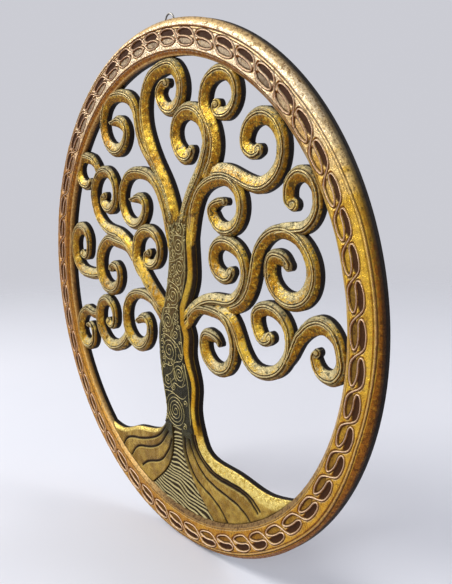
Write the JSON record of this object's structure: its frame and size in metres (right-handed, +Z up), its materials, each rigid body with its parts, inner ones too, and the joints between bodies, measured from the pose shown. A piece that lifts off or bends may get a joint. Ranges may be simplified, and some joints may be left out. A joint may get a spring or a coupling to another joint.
{
  "type": "carved tree of life wall plaque",
  "caption": "Round openwork wall plaque: a tree with curling branches and spreading roots inside a patterned rim, hung by a hinged loop at the back.",
  "frame": {"origin": "centre of the flat back of the plaque, on the wall plane", "axes": "+Z up, -Y towards the viewer, +Y into the wall, +X to the viewer's right"},
  "size_m": [0.5999, 0.015, 0.6085],
  "materials": {
    "rim_gilding": "carved board, painted dark brown and gilded with a worn satin gold",
    "trunk_patina": "carved board, dark green-brown patina with raised cream-gold lines",
    "root_gilding": "carved board, ochre gold with dark incised lines",
    "branch_gilding": "carved board, pale gold rubbed over dark patina",
    "hanger_steel": "dull plated steel"
  },
  "bodies": {
    "plaque": {"rim": "rim_gilding", "trunk": "trunk_patina", "root_left": "root_gilding", "root_right": "root_gilding", "root_mound": "root_gilding", "scroll_left_crown": "branch_gilding", "scroll_left_upper": "branch_gilding", "scroll_left_inner_upper": "branch_gilding", "scroll_left_long_branch": "branch_gilding", "scroll_left_inner_middle": "branch_gilding", "scroll_left_outer_middle": "branch_gilding", "scroll_left_rim_middle": "branch_gilding", "scroll_left_bud_upper": "branch_gilding", "scroll_left_inner_lower": "branch_gilding", "scroll_left_outer_lower": "branch_gilding", "scroll_left_rim_lower": "branch_gilding", "scroll_right_crown": "branch_gilding", "scroll_right_inner_upper": "branch_gilding", "scroll_right_outer_upper": "branch_gilding", "scroll_right_upper": "branch_gilding", "scroll_right_inner_middle": "branch_gilding", "scroll_right_outer_middle": "branch_gilding", "scroll_right_rim_upper": "branch_gilding", "scroll_right_inner_lower": "branch_gilding", "scroll_right_outer_lower": "branch_gilding", "scroll_right_rim_lower": "branch_gilding", "hanger_strap": "hanger_steel", "hanger_screw": "hanger_steel"},
    "ring": {"hanger_ring": "hanger_steel"}
  },
  "joints": [
    {"name": "ring_hinge", "type": "hinge", "parent": "plaque", "child": "ring", "pos_m": [0, -0.0026, 0.2935], "axis": [-1, 0, 0], "range_deg": [0, 170]}
  ]
}
